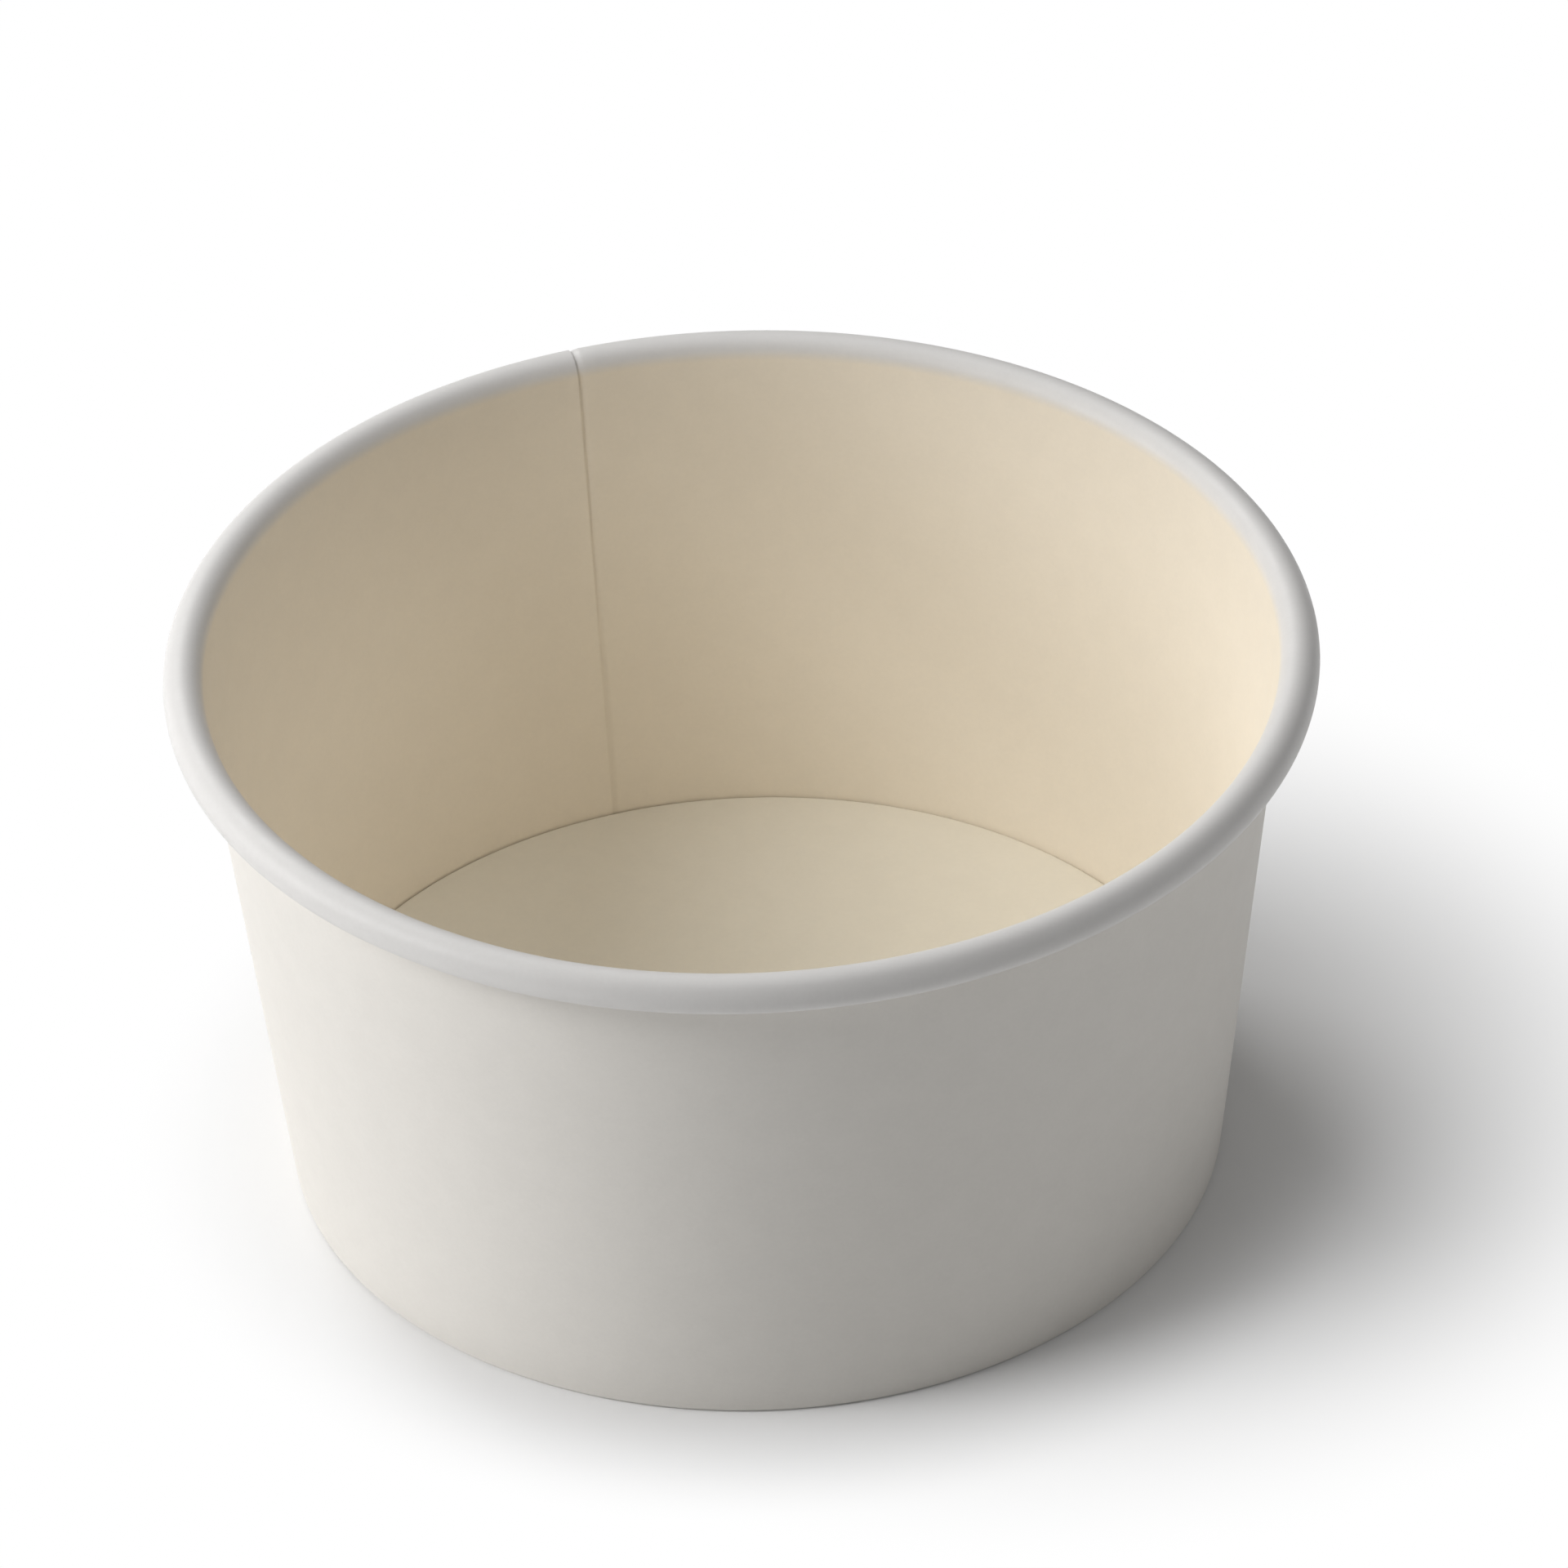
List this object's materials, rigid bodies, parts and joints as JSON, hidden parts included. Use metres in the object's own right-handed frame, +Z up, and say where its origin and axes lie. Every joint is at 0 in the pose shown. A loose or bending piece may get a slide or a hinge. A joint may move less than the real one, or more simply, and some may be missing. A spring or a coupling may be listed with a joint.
{
  "type": "paper sundae cup",
  "caption": "Low, wide open paper tub for ice cream, with a rolled rim, a leaning wall glued at a lap seam and a raised floor held in a turned-in hem.",
  "frame": {"origin": "centre of the foot, on the plane that the cup stands on", "axes": "+Z up along the cup's axis, through the open mouth; the lap seam is at the back, 17 degrees from +Y towards -X"},
  "size_m": [0.092, 0.092, 0.0478],
  "materials": {
    "wall_board": "matte coated paperboard, warm inside",
    "base_board": "matte coated paperboard"
  },
  "bodies": {
    "root": {"sidewall": "wall_board", "base_disc": "base_board"}
  },
  "joints": []
}
